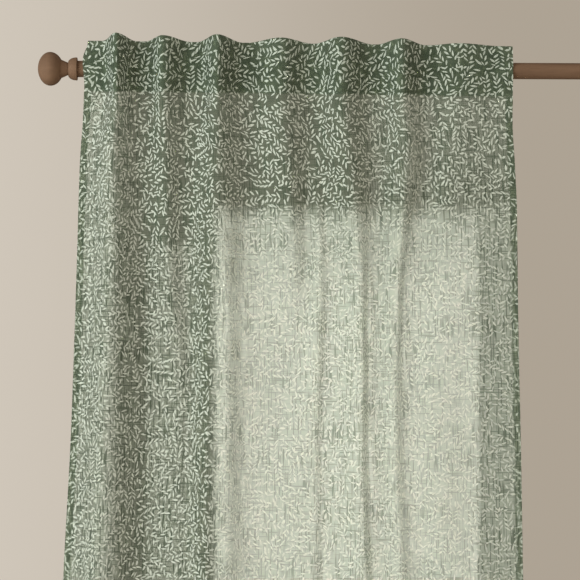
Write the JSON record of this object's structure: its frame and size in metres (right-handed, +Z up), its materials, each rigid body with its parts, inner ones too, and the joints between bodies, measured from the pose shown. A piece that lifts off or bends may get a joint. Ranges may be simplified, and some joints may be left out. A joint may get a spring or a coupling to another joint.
{
  "type": "tab top voile curtain on a wooden rod",
  "caption": "Light leaf-print voile curtain with a doubled heading and hidden back tabs, hanging in soft uneven folds from a wooden rod with turned ball finials.",
  "frame": {"origin": "on the rod's axis, at the middle of the rod's length", "axes": "+X along the rod to the right as seen from the room, +Z up, the curtain's front faces -Y"},
  "size_m": [1.3348, 0.0896, 1.8428],
  "materials": {
    "voile": "semi-sheer slub weave, sage green with a small cream leaf print",
    "wood": "mid-brown stained, satin"
  },
  "bodies": {
    "root": {"rod": "wood", "finial_left": "wood", "finial_right": "wood", "panel": "voile", "heading_facing": "voile", "tab_1": "voile", "tab_2": "voile", "tab_3": "voile", "tab_4": "voile", "tab_5": "voile", "tab_6": "voile", "tab_7": "voile", "tab_8": "voile"}
  },
  "joints": []
}
